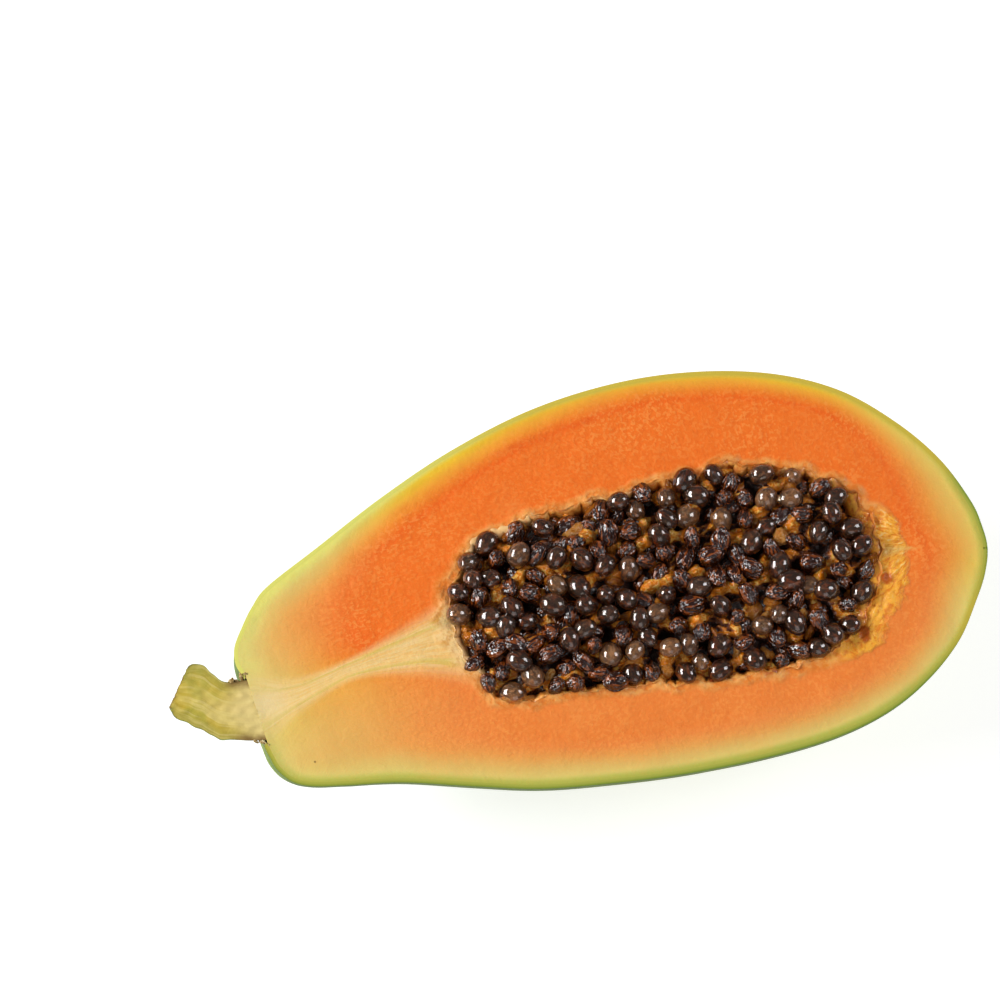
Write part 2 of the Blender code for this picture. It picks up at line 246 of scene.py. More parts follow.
def joined_copies(name, shape, fields, faces):
    """One mesh of many copies: shape is (copies, points, 3), and faces are one copy's own, where
    a triangle names its last corner twice."""
    copies, points = shape.shape[:2]
    shift = (np.arange(copies) * points)[:, None, None]
    quads = (np.asarray(faces)[None] + shift).reshape(-1, 4)
    mesh = bpy.data.meshes.new(name)
    corners = [face if face[2] != face[3] else face[:3] for face in quads.tolist()]
    mesh.from_pydata(placed(shape.reshape(-1, 3)).tolist(), [], corners)
    mesh.shade_smooth()
    hold(mesh, fields, copies * points)
    return shown(name, mesh)


def fruit_outline(inset, rings):
    """The upper and the lower outline of the fruit, point by point, and its tip, moved inwards."""
    lower = [pair[1] for pair in FRUIT_PAIRS]
    upper = [pair[0] for pair in FRUIT_PAIRS]
    loop = through([*lower, BLOSSOM_TIP, *reversed(upper)], 2 * rings + 1)
    loop = moved_in(loop, inset + CLEAR)
    return loop[:rings:-1], loop[:rings], loop[rings]


def fruit_rings(inset, rings, turn):
    """Points of the fruit's lower half: rows along it, and turns from its upper rim at 0 down
    and round to its lower rim at pi. Each row is half an ellipse between facing points of the
    outline, lobed a little, and its shoulders reach back below the cut face."""
    upper, lower, tip = fruit_outline(inset, rings)
    middle, half = (upper + lower) / 2, (upper - lower) / 2
    size = np.linalg.norm(half, axis=1)
    deep = DEPTH_RATIO * (1 - BELLY_LEAN * (middle[:, 0] - BELLY_AT)) * size
    lobes = LOBE_RELIEF * np.cos(LOBES * (turn - math.pi / 2)) * np.sin(turn) ** 2
    swell = 1 + lobes / size.max()
    across = middle[:, None, :] + half[:, None, :] * (np.cos(turn) * swell)[None, :, None]
    down = -deep[:, None] * (np.sin(turn) * swell)[None, :]
    points = np.dstack([across, down])
    depth = np.abs(down) / size[:, None]
    shoulder = np.clip((size[:, None] - 9) / 9, 0, 1)
    shoulder = shoulder * np.clip(1 - points[:, :, 0] / 40, 0, 1) ** 2
    back = shoulder * np.sin(math.pi * np.minimum(depth, 0.75) / 1.5) ** 2
    points[:, :, 0] -= SHOULDER_BULGE * back
    points[:, :, 2] = np.maximum(points[:, :, 2], inset - CUT_HEIGHT)
    return points, np.append(tip, 0.0)


def bearing(along, across):
    """Degrees round the cut face, anticlockwise: 0 at the blossom end and 90 at the top. The
    fruit's length counts for about half, so that the degrees spread evenly round its rim."""
    return np.degrees(np.arctan2(across - 12, (along - 90) * 0.55))


def yellow_share(along, across):
    """How yellow the border is where it isn't green: golden along the top, and paler and
    yellower towards the stem."""
    marks = [-180, -165, 60, 95, 122, 160, 180]
    return np.interp(bearing(along, across), marks, [1, 0, 0, 0.15, 0.5, 1, 1])


def green_share(along, across):
    """How green the cut edge is: not at all along the top, fully at the lower right."""
    marks = [-180, -165, -150, -110, -60, -45, -35, -27, -20, -5, 7, 14, 20, 30, 55, 90, 180]
    green = [0.0, 0.3, 0.75, 0.85, 1.0, 0.9, 0.45, 0.3, 0.6, 0.9, 0.85, 0.35, 0.2, 0.2, 0.1, 0, 0]
    return np.interp(bearing(along, across), marks, green)


def make_skin():
    """The skin: a half shell whose cross-section runs down the outside from the upper rim to the
    lower one, over the cut edge and back up the inside."""
    rings, sides = 300, 133
    turn = np.linspace(0, math.pi, sides)
    back = turn[::-3]
    outside, tip = fruit_rings(0.0, rings, turn)
    inside, _ = fruit_rings(SKIN, rings, back)
    away = ripples(outside, 26.0, 3)[:, :, None] * 0.16 + ripples(outside, 9.0, 4)[:, :, None] * 0.05
    centre = outside.mean(axis=1, keepdims=True) * [1, 1, 0]
    outward = outside - centre
    outward /= np.maximum(np.linalg.norm(outward, axis=2, keepdims=True), 1e-6)
    held = np.sin(turn)[None, :, None] ** 0.5 * (outside[:, :, 2:] > 1.2 - CUT_HEIGHT)
    outside = outside + outward * np.minimum(away, 0) * held
    steps = np.array([0.12, 0.35, 0.65])
    edge = []
    ends = ((outside[:, -1], inside[:, 0], steps), (inside[:, -1], outside[:, 0], 1 - steps[::-1]))
    for a, b, share in ends:
        edge.append(np.stack([a + (b - a) * k for k in share], axis=1))
    edge[0][:, :, 2] -= [0.012, 0.004, 0.0]
    edge[1][:, :, 2] -= [0.0, 0.004, 0.012]
    outside[:, 0, 2] -= 0.025
    outside[:, -1, 2] -= 0.025
    loop = np.concatenate([outside, edge[0], inside, edge[1]], axis=1)
    cut = np.concatenate([np.full(sides, -1.0), steps, np.full(len(back), 1.0), steps[::-1]])
    cut[0] = cut[sides - 1] = 0.0
    collar = loop.copy()[:1]
    foot = (np.array(FRUIT_PAIRS[0][0]) + np.array(FRUIT_PAIRS[0][1])) / 2
    rays = outside[0] - np.append(foot, 0.0)
    rays /= np.linalg.norm(rays, axis=1)[:, None]
    border = np.append(foot + [0.5, 0.05], 0.0) + rays * STEM_HOLE
    at = np.concatenate([turn, [math.pi] * 3, back, [0.0] * 3])
    collar[0] = np.stack([np.interp(at, turn, border[:, k]) for k in range(3)], axis=1)
    grid = np.concatenate([collar, loop])
    fields = {
        "cut": np.broadcast_to(cut, grid.shape[:2]),
        "green": green_share(grid[:, :, 0], grid[:, :, 1]),
        "yellow": yellow_share(grid[:, :, 0], grid[:, :, 1]),
        "depth": -grid[:, :, 2],
    }
    return surface("skin_fine", grid, fields, grid[0].mean(axis=0), tip)


def rim_and_cavity(count):
    """The flesh's rim and the cavity's edge as closed outlines with facing points, both
    anticlockwise, from the stem's foot and from the cavity's stem end."""
    upper, lower, tip = fruit_outline(SKIN, 400)
    rim = np.vstack([lower, tip[None], upper[::-1]])
    foot = (upper[0] + lower[0]) / 2
    rim = by_length(np.vstack([foot[None], rim, foot[None]]), count + 1)[:-1]
    edge = by_length(through(CAVITY_EDGE, 700, closed=True), count, closed=True)
    start = np.argmin(np.linalg.norm(edge - np.array([51.2, 7.0]), axis=1))
    edge = np.roll(edge, -start, axis=0)
    return rim, edge


def raggedness(edge):
    """How far the cavity's edge wanders inwards, for each of its points."""
    return 0.6 * ripples(edge, 8.0, 11) + 0.3 * ripples(edge, 3.0, 12)


def least_distance(points, outline):
    """The distance from each point to the nearest corner of a finely divided outline."""
    flat = points.reshape(-1, 2)
    out = np.empty(len(flat))
    for k in range(0, len(flat), 8192):
        gap = flat[k : k + 8192, None, :] - outline[None]
        out[k : k + 8192] = np.sqrt((gap**2).sum(axis=2).min(axis=1))
    return out.reshape(points.shape[:-1])


def read_off(x, points):
    """The height at x of a smooth curve through the given points."""
    curve = through(points, 400)
    return np.interp(x, curve[:, 0], curve[:, 1])


def fringe_reach(along, across):
    """How far the fuzzy, juicy border of the cavity reaches over the flesh, in millimetres:
    farthest at the blossom end, and some way towards the stem."""
    at = np.degrees(np.arctan2(across - 9, along - 103))
    marks = [-180, -168, -150, -120, -50, -36, -28, -15, 0, 5, 11, 20, 90, 150, 168, 180]
    reach = [4.6, 3.0, 2.0, 1.8, 2.2, 3.6, 5.4, 6.4, 6.4, 4.6, 2.6, 1.6, 1.7, 2.0, 3.2, 4.6]
    return np.interp(at, marks, reach)


def ripeness(along, across, from_rim):
    """How ripe the flesh is: 0 at the rim and by the stem, 1 where it is fully orange, the softly
    rounded lesser of two rises. The unripe border is thin along the top and widest by the stem."""
    at = bearing(along, across)
    marks = [-180, -140, -100, -60, -35, -20, 0, 16, 30, 45, 60, 80, 120, 150, 180]
    reach = [15, 12, 9.6, 10, 10, 13, 15.5, 11, 7.5, 5.8, 5.8, 6.2, 8.0, 10, 15]
    start = [0, 0, 0, 0, 0.05, 0.03, 0.03, 0.06, 0.1, 0.14, 0.2, 0.25, 0.08, 0.02, 0]
    reach, start = np.interp(at, marks, reach), np.interp(at, marks, start)
    by_rim = start + (1 - start) * from_rim / reach
    from_stem = np.hypot(along + 2, across - 2)
    low = smooth_step(9 - across + along * 0.1, 0, 12)
    by_stem = 0.03 + from_stem / (35 + 27 * low)
    soft = 0.12
    return -soft * np.log(np.exp(-by_rim / soft) + np.exp(-by_stem / soft))


def flesh_rings(rim, edge):
    """Rings that rise from the belly's inside to the rim, cross the cut face to the cavity's ragged
    edge, and run down into the cavity, and the numbers of the first ring and the last on the face."""
    band = 1.6  # in which the edge turns ragged
    rag = raggedness(edge)
    ragged_edge = moved_in(edge, rag)
    near = moved_in(edge, -band)
    belly = [
        level(drawn_in(rim, 0.995 * k), -38 * math.sqrt(1 - k * k))
        for k in np.linspace(0.08, 1, 10, endpoint=False)
    ]
    belly.append(level(rim, -0.6))
    face = [level(rim + (near - rim) * k, 0.0) for k in np.linspace(0, 1, 92)]
    face += [level(moved_in(edge, rag * k - band * (1 - k)), 0.0) for k in (0.25, 0.5, 0.75, 1.0)]
    steps = ((0.2, -0.12), (0.45, -0.4), (0.7, -0.9), (0.95, -1.8), (1.1, -3.5), (1.3, -6.0))
    wall = [level(moved_in(ragged_edge, inset), height) for inset, height in steps]
    floor = [level(drawn_in(ragged_edge, k), -8 - 6 * (1 - k)) for k in (0.9, 0.7, 0.45, 0.2)]
    return np.stack(belly + face + wall + floor), ragged_edge, len(belly), len(belly) + len(face)


def flesh_fields(along, across, from_rim, fan, fan_here, outside, gel, on_face):
    """What the flesh's finish reads: ripeness and borders, the strands, the juicy fringe, and a
    grain that runs square to the rim."""
    # low_side: the lower side, by the stem and at the lower blossom end, where the flesh is painted in a
    # paler, pastel palette as a soft reflection and its grain is kept fainter.
    low = smooth_step(14 - across, 0, 28)
    low = np.maximum(low, 1 - smooth_step(along - across * 0.55, 2, 26))
    low = np.maximum(low, 0.75 * smooth_step(along + across * 0.3, 162, 182))
    turn = np.linspace(0, 2 * math.pi, along.shape[1], endpoint=False)
    round_rim = 480 / (2 * math.pi) * np.stack([np.cos(turn), np.sin(turn)], axis=-1)
    to_tip, from_tip = GEL_TIP[0] - along, across - GEL_TIP[1]
    strings = np.arctan2(from_tip, to_tip)
    wedge = (165.5 - along) * 0.16 - np.abs(across - 6.3 + (along - 158) * 0.12)
    streak = np.exp(-(((from_rim - 2.2 - along * 0.045) / 0.9) ** 2)) * (across > 20)
    deep = sum(
        np.exp(-(((along - x) / long) ** 2) - ((across - y) / wide) ** 2)
        for x, y, long, wide in DEEP_STAINS
    )
    return {
        "ripe": ripeness(along, across, from_rim),
        "green": green_share(along, across) * (1 - smooth_step(from_rim, 0, 2.6)),
        "yellow": yellow_share(along, across),
        "low_side": low,
        "from_rim": from_rim,
        "outside": outside,
        "gel": gel,
        "gel_at": np.stack([strings * 6, np.hypot(from_tip, to_tip) * 0.22, 0 * strings], axis=-1),
        "wedge": smooth_step(wedge, -0.1, 0.7) * smooth_step(along, 153, 157) * on_face,
        "deep": deep * on_face,
        "fan": fan,
        "fan_here": fan_here,
        "along": along,
        "foot": np.exp(-(((along - 3.5) / 5.5) ** 2) - ((across - 0.8) / 3.6) ** 2),
        "grain": np.dstack([np.broadcast_to(round_rim, (*along.shape, 2)), from_rim * 1.1]),
        "streak": streak * smooth_step(along, 38, 55) * (1 - smooth_step(along, 84, 100)),
    }


def make_flesh():
    """The flesh: a closed bowl with a nearly flat cut face. The face dips and swells a little,
    is ridged along the strands, soft at the cavity's lip and sunk where it turns to gel."""
    rim, edge = rim_and_cavity(620)
    grid, edge, first, last = flesh_rings(rim, edge)
    flat = grid[:, :, :2]
    along, across = flat[:, :, 0], flat[:, :, 1]
    from_rim, from_edge = least_distance(flat, rim), least_distance(flat, edge)
    on_face = np.zeros(grid.shape[:2])
    on_face[first:last] = 1.0
    inner = on_face * smooth_step(from_rim, 0.2, 2.5)
    lip = np.exp(-((from_edge / 1.6) ** 2)) * on_face
    fan = (across - read_off(along, FAN_MIDDLE)) / read_off(along, FAN_HALF)
    fan_here = 1 - smooth_step(along, 50, 60)
    ridge = np.exp(-((np.abs(fan) - 0.95) / 0.3) ** 2) + 0.5 * np.sin(7 * fan) * np.exp(-(fan**2))
    reach = fringe_reach(along, across)
    outside = np.zeros(grid.shape[:2])
    outside[:last] = from_edge[:last] / reach[:last]
    gel = smooth_step(reach, 2.6, 5.0) * (along > 110) * on_face
    sunk = gel * (1 - smooth_step(outside, 0.1, 1.05))
    grid[:, :, 2] += (
        inner * (0.10 * ripples(flat, 17.0, 21) + 0.035 * ripples(flat, 5.0, 22) - 0.1)
        + lip * (0.16 * ripples(flat, 3.2, 23) - 0.1)
        + inner * 0.07 * ridge * fan_here
        + sunk * (0.22 * ripples(flat, 2.4, 28) + 0.1 * ripples(flat, 1.2, 29) - 0.55)
    )
    fields = flesh_fields(along, across, from_rim, fan, fan_here, outside, gel, on_face)
    return surface("flesh_fine", grid, fields)


def make_pulp():
    """The pulp: a thin lining up the cavity's wall, rounded over at the top, torn over the flesh's
    edge at the upper left, and drawn inwards under the seeds at the blossom end."""
    sides = 620
    _, edge = rim_and_cavity(sides)
    middle = edge.mean(axis=0)
    edge = moved_in(edge, raggedness(edge))
    right_end = smooth_step(edge[:, 0], 142, 154)
    torn = smooth_step(-np.hypot(edge[:, 0] - 64, edge[:, 1] - 31), -13, -5)
    left_end = smooth_step(-np.hypot(edge[:, 0] - 52, edge[:, 1] - 4), -13, -6)
    tall = -0.35 + 0.25 * ripples(edge, 5.0, 35) + 0.3 * torn - 0.4 * right_end
    thick = PULP + 0.35 * ripples(edge, 2.8, 36) + 2.0 * right_end + 0.2 * torn
    over = torn * (0.35 + 0.45 * ripples(edge, 6.0, 40))
    outer = [(2.0, -9.0), (0.6, -5.0), (0.3, -2.0), (0.15, -1.1)]
    crest = [
        (-0.8 * over, tall - 0.6), (-over, tall - 0.35), (thick * 0.1 - 0.8 * over, tall - 0.1),
        (thick * 0.25 - 0.4 * over, tall), (thick * 0.42, tall), (thick * 0.6, tall - 0.12),
        (thick * 0.8, tall - 0.3), (thick, tall - 0.7),
    ]
    inner = [(thick + 0.4, -1.8), (thick + 0.9, -3.0), (thick + 1.8, -5.0), (thick + 3.5, -7.0)]
    base = middle + (edge - middle) * 0.5
    rings = [level(moved_in(edge, inset), height) for inset, height in outer + crest + inner]
    grid = np.stack([level(base, -16.0), *rings, level(base, -9.0)])
    grid[7:15, :, 2] += 0.10 * ripples(grid[7:15], 2.6, 37)
    soft = grid[8:15]
    soft[:, :, :2] += 0.08 * np.stack([ripples(soft, 2.4, 38), ripples(soft, 2.4, 39)], axis=-1)
    # lift: how far up the lip each ring is. Where it is low, down the wall and under the seeds, the finish
    # paints dark red-brown shade.
    lift = [0.0] * 6 + [0.7, 1.0, 1.0, 0.9, 0.75, 0.6, 0.45, 0.3, 0.15] + [0.0] * 3
    lift = np.repeat(np.array(lift), sides).reshape(grid.shape[:2])
    fields = {
        "lift": lift,
        "right_end": np.broadcast_to(right_end, lift.shape),
        "torn": np.broadcast_to(np.maximum(torn, left_end), lift.shape),
    }
    return surface("pulp_fine", grid, fields)


def inside(point, outline):
    """Whether a point is inside a closed outline, by the crossings of a ray."""
    x, y = point
    ax, ay = outline[:, 0], outline[:, 1]
    bx, by = np.roll(ax, -1), np.roll(ay, -1)
    crosses = (ay > y) != (by > y)
    reach = ax + (y - ay) * (bx - ax) / np.where(by == ay, 1.0, by - ay)
    return bool((crosses & (x < reach)).sum() % 2)


def thrown(outline, spacing, seed, throws):
    """Random points inside an outline, each at least a distance from the ones before."""
    draw = np.random.default_rng(seed)
    low, high = outline.min(axis=0), outline.max(axis=0)
    places = []
    for spot in draw.uniform(low, high, (throws, 2)):
        if not inside(spot, outline):
            continue
        if places and np.linalg.norm(np.array(places) - spot, axis=1).min() < spacing:
            continue
        places.append(spot)
    return np.array(places)


def unit_ball(sides, bands):
    """The points and faces of a ball of radius 1 whose poles lie on its long axis, X."""
    turn = np.linspace(0, 2 * math.pi, sides, endpoint=False)
    lean = np.linspace(0, math.pi, bands + 1)[1:-1]
    rows = [
        np.stack([np.full(sides, math.cos(a)), math.sin(a) * np.cos(turn), math.sin(a) * np.sin(turn)], 1)
        for a in lean
    ]
    points = np.vstack([*rows, [[1, 0, 0]], [[-1, 0, 0]]])
    number = np.arange(len(lean) * sides).reshape(len(lean), sides)
    right = np.roll(number, -1, axis=1)
    quads = np.stack([number[:-1], number[1:], right[1:], right[:-1]], axis=-1).reshape(-1, 4)
    top = np.full(sides, len(lean) * sides)
    caps = [
        np.stack([number[0], right[0], top, top], axis=1),
        np.stack([right[-1], number[-1], top + 1, top + 1], axis=1),
    ]
    return points, np.vstack([quads, *caps])


def turned(draw, count):
    """Random turns: any heading in the cut face, rolled anyhow, and leaning up or down a little."""
    turns = [
        Euler((draw.uniform(0, WHOLE_TURN), draw.normal(0, 0.5), draw.uniform(0, WHOLE_TURN)))
        for _ in range(count)
    ]
    return np.array([turn.to_matrix() for turn in turns])


def seeds_mesh(
    name, places, heights, sizes, ball, draw, wrinkle=0.0, lumpy=0.0, spins=None, lots=None
):
    """Many egg shapes: each is the ball stretched, ridged lengthwise or made lumpy by its own
    waves, turned and placed. Returns the mesh's object and the turns."""
    points, faces = ball
    count = len(places)
    spins = turned(draw, count) if spins is None else spins
    shape = np.broadcast_to(points, (count, *points.shape)).copy()
    blunt = 1 + 0.08 * shape[:, :, :1] * draw.choice([-1, 1], (count, 1, 1))
    shape[:, :, 1:] *= blunt
    local = shape + draw.uniform(-40, 40, (count, 1, 3))
    if wrinkle:
        phase = draw.uniform(0, WHOLE_TURN, (count, 1))
        around = np.arctan2(shape[:, :, 2], shape[:, :, 1])
        ridges = np.cos(5 * around + phase + 2 * shape[:, :, 0]) + np.cos(3 * around - 2 * phase)
        shape *= 1 + wrinkle * (ridges * (1 - shape[:, :, 0] ** 2))[:, :, None]
    if lumpy:
        lumps = ripples(local, 1.6, 61) + 0.7 * ripples(local, 0.7, 62)
        shape *= 1 + lumpy * lumps[:, :, None]
    shape = np.einsum("nij,npj->npi", spins, shape * sizes[:, None, :])
    centres = np.column_stack([places, heights])
    lots = draw.uniform(0, 1, (count, 1)) if lots is None else lots
    fields = {"own": local, "lot": np.broadcast_to(lots, shape.shape[:2])}
    return joined_copies(name, shape + centres[:, None, :], fields, faces), spins


def heap_top(places, edge):
    """Height of the heap against the cut face: low by the cavity's edge, higher in the middle."""
    return -0.5 + 1.9 * smooth_step(least_distance(places, edge), 2.5, 12)


def make_bed(edge):
    """The lumpy bed of pulp under the seeds, closed below."""
    outline = moved_in(edge, 0.9)
    middle = edge.mean(axis=0)
    rings = []
    for k in np.linspace(0.03, 0.99, 34):
        flat = middle + (outline - middle) * k
        rings.append(level(flat, heap_top(flat, edge) - 1.9))
    top = np.stack(rings)
    lumps = ripples(top[:, :, :2], 7.0, 41) + 0.3 * ripples(top[:, :, :2], 2.0, 42)
    top[:, :, 2] += 1.7 * lumps
    below = [
        level(middle + (outline - middle) * k, height)
        for k, height in ((0.97, -7.5), (0.8, -9.0), (0.4, -10.0))
    ]
    # The lumps' height, by which the bed's finish paints shade into its hollows.
    fields = {"lumps": np.concatenate([lumps, 0 * lumps[-3:]])}
    return surface("seed_bed", np.concatenate([top, np.stack(below)]), fields)


def make_seeds():
    """The seeds: coated ones and bare wrinkled ones on top, a layer under them with a darker copy of
    the bare seeds' finish as painted shade, scraps of pulp between them, and the bed of pulp that they lie
    in."""
    draw = np.random.default_rng(5)
    plain_ball, fine_ball, small_ball = unit_ball(14, 9), unit_ball(24, 15), unit_ball(10, 7)
    edge = by_length(through(CAVITY_EDGE, 500, closed=True), 400, closed=True)
    left_end = 1 - smooth_step(edge[:, 0], 54, 66)
    right_end = smooth_step(edge[:, 0], 144, 154)
    top = thrown(moved_in(edge, 1.9 - 0.9 * left_end + 1.6 * right_end), 4.3, 17, 14000)
    heights = heap_top(top, edge) + draw.uniform(-1.2, 1.2, len(top))
    coated = draw.uniform(0, 1, len(top)) < COATED_SHARE
    heights = np.minimum(heights + np.where(coated, 0.35, -0.35), HIGHEST_MIDDLE)
    made = {}
    size = COATED_SEED * draw.uniform(0.84, 1.06, (coated.sum(), 1))
    at = top[coated], heights[coated]
    pale = draw.uniform(0, 1, (coated.sum(), 1)) ** 1.8
    made["cores"], spins = seeds_mesh(
        "seed_cores", *at, size * (0.92 - 0.26 * pale), fine_ball, draw, 0.05, 0.03, lots=pale
    )
    made["coats"], _ = seeds_mesh("seed_coats", *at, size, plain_ball, draw, spins=spins, lots=pale)
    size = BARE_SEED * draw.uniform(0.78, 1.06, ((~coated).sum(), 1))
    at = top[~coated], heights[~coated]
    made["bare"], _ = seeds_mesh("seeds_bare", *at, size, fine_ball, draw, 0.06, 0.045)
    under = thrown(moved_in(edge, 3.2), 4.8, 19, 6000)
    size = HIDDEN_SEED * draw.uniform(0.9, 1.05, (len(under), 1))
    low = heap_top(under, edge) - 3.4 + draw.uniform(-0.6, 0.6, len(under))
    made["under"], _ = seeds_mesh("seeds_under", under, low, size, small_ball, draw, 0.05)
    crumbs = thrown(moved_in(edge, 2.0), 3.4, 29, 9000)
    crumbs = crumbs[draw.uniform(0, 1, len(crumbs)) < 0.3]
    size = SCRAP * draw.uniform(0.45, 1.15, (len(crumbs), 3))
    lie = heap_top(crumbs, edge) + draw.uniform(-2.8, -0.5, len(crumbs))
    made["scraps"], _ = seeds_mesh("pulp_scraps", crumbs, lie, size, fine_ball, draw, 0.0, 0.13)
    made["bed"] = make_bed(edge)
    return made


def make_scars():
    """Cracked bits of bark at the two shoulders where the stem joins the fruit."""
    draw = np.random.default_rng(8)
    upper = [(0.2, 8.3), (-0.9, 8.2), (-2.2, 7.9), (0.6, 9.2), (-3.6, 8.0)]
    lower = [(1.6, -8.3), (0.8, -7.6), (2.2, -9.2), (-0.4, -7.4)]
    places = np.array(upper + lower)
    size = (1.1, 0.5, 0.45) * draw.uniform(0.6, 1.1, (len(places), 1))
    height = draw.uniform(-0.5, -0.35, len(places))
    return seeds_mesh("stem_scars", places, height, size, unit_ball(14, 9), draw, 0.0, 0.3)[0]


def make_stem():
    """The half stem: rings along it, each flat across the cut and round below, ragged at the end."""
    rows, arc, across = 90, 60, 44
    upper = through([pair[0] for pair in STEM_PAIRS], rows)
    lower = through([pair[1] for pair in STEM_PAIRS], rows)
    far = np.linspace(0, 1, rows)
    upper += 0.16 * ripples(upper, 3.4, 51)[:, None] * far[:, None]
    lower += 0.12 * ripples(lower, 4.5, 52)[:, None] * smooth_step(far, 0.1, 0.5)[:, None]
    middle, half = (upper + lower) / 2, (upper - lower) / 2
    size = np.linalg.norm(half, axis=1)
    turn = np.linspace(0, math.pi, arc)
    below = np.dstack([
        middle[:, None] + half[:, None] * np.cos(turn)[None, :, None],
        -STEM_DEPTH_RATIO * size[:, None] * np.sin(turn)[None],
    ])
    side = np.linspace(-1, 1, across + 2)[1:-1]
    face = np.dstack([
        middle[:, None] + half[:, None] * side[None, :, None],
        np.zeros((rows, across)),
    ])
    grid = np.concatenate([below, face], axis=1)
    bark = np.concatenate([np.sin(turn) ** 0.3, np.zeros(across)])
    grid[:, :, 2] += bark * 0.3 * ripples(grid, 2.8, 53)
    end = smooth_step(far, 0.86, 1.0)[:, None]
    shift = 0.75 * ripples(grid[:, :, 1:], 3.4, 54) + 0.3 * ripples(grid[:, :, 1:], 1.2, 55)
    grid[:, :, 0] += end * np.abs(shift)
    slot = np.exp(-((side - 0.1) / 0.35) ** 2) * 0.25
    slot = slot * smooth_step(far, 0.2, 0.6)[:, None]
    grid[:, arc:, 2] -= 0.12 + 0.10 * ripples(grid[:, arc:], 1.8, 56) + slot
    position = np.concatenate([np.cos(turn), side])
    fields = {
        "side": np.broadcast_to(position, grid.shape[:2]),
        "far": np.broadcast_to(far[:, None], grid.shape[:2]),
        "cut": np.broadcast_to(np.concatenate([np.zeros(arc), np.ones(across)]), grid.shape[:2]),
    }
    return surface("stem_fine", grid, fields)


# Finishes

class Value:
    """One output of a shader node. Arithmetic on it adds Math nodes."""

    def __init__(self, finish, socket):
        self.finish, self.socket = finish, socket

    def _math(self, operation, *inputs):
        return self.finish.add("ShaderNodeMath", {"operation": operation}, dict(enumerate(inputs)))

    def __add__(self, other):
        return self._math("ADD", self, other)

    def __sub__(self, other):
        return self._math("SUBTRACT", self, other)

    def __rsub__(self, other):
        return self._math("SUBTRACT", other, self)

    def __mul__(self, other):
        return self._math("MULTIPLY", self, other)

    def __abs__(self):
        return self._math("ABSOLUTE", self)

    __radd__ = __add__
    __rmul__ = __mul__

    def rise(self, low, high):
        """0 below low, 1 above high, smooth between."""
        settings = {"interpolation_type": "SMOOTHSTEP"}
        return self.finish.add("ShaderNodeMapRange", settings, {0: self, 1: low, 2: high})

    def most(self, other):
        return self._math("MAXIMUM", self, other)


class Finish:
    """A material over a Principled shader."""

    def __init__(self, name, **constants):
        self.material = bpy.data.materials.new(name)
        self.material.use_nodes = True
        self.tree = self.material.node_tree
        self.shader = self.tree.nodes["Principled BSDF"]
        self.put(**constants)

    def put(self, **inputs):
        """Sets or links the shader's inputs, named with _ for a space."""
        for key, value in inputs.items():
            self._fill(self.shader.inputs[key.replace("_", " ")], value)

    def _fill(self, socket, value):
        if isinstance(value, Value):
            self.tree.links.new(value.socket, socket)
        elif hasattr(socket.default_value, "__len__") and len(value) == 3 and len(socket.default_value) == 4:
            socket.default_value = (*value, 1.0)
        else:
            socket.default_value = value

    def add(self, kind, settings=None, inputs=None, output=0):
        """A node of a kind with its settings, and the values or links of its inputs."""
        node = self.tree.nodes.new(kind)
        for key, value in (settings or {}).items():
            if key == "stops":
                ramp = node.color_ramp
                while len(ramp.elements) < len(value):
                    ramp.elements.new(0.5)
                for element, (place, colour) in zip(ramp.elements, value):
                    element.position = place
                    element.color = (*colour, 1.0)
            else:
                setattr(node, key, value)
        for key, value in (inputs or {}).items():
            self._fill(node.inputs[key], value)
        return Value(self, node.outputs[output])

    def place(self):
        return self.add("ShaderNodeTexCoord", output="Object")

    def field(self, name, output="Fac"):
        return self.add("ShaderNodeAttribute", {"attribute_name": name}, output=output)

    def noise(self, where, scale, detail=2.0, rough=0.5, bend=0.0):
        inputs = {"Vector": where, "Scale": scale, "Detail": detail, "Roughness": rough, "Distortion": bend}
        return self.add("ShaderNodeTexNoise", {}, inputs)

    def cells(self, where, scale):
        return self.add("ShaderNodeTexVoronoi", {}, {"Vector": where, "Scale": scale})

    def stretched(self, where, scale):
        return self.add("ShaderNodeMapping", {}, {"Vector": where, "Scale": scale})

    def mix(self, first, second, share):
        inputs = {0: share, 6: first, 7: second}
        return self.add("ShaderNodeMix", {"data_type": "RGBA"}, inputs, output=2)

    def layers(self, colour, *paints):
        """A colour painted over with others in turn, each in its share."""
        for paint, share in paints:
            colour = self.mix(colour, paint, share)
        return colour

    def shades(self, value, *stops):
        return self.add("ShaderNodeValToRGB", {"stops": stops}, {0: value})

    def relief(self, height, strength, distance):
        inputs = {"Height": height, "Strength": strength, "Distance": distance}
        return self.add("ShaderNodeBump", {}, inputs)


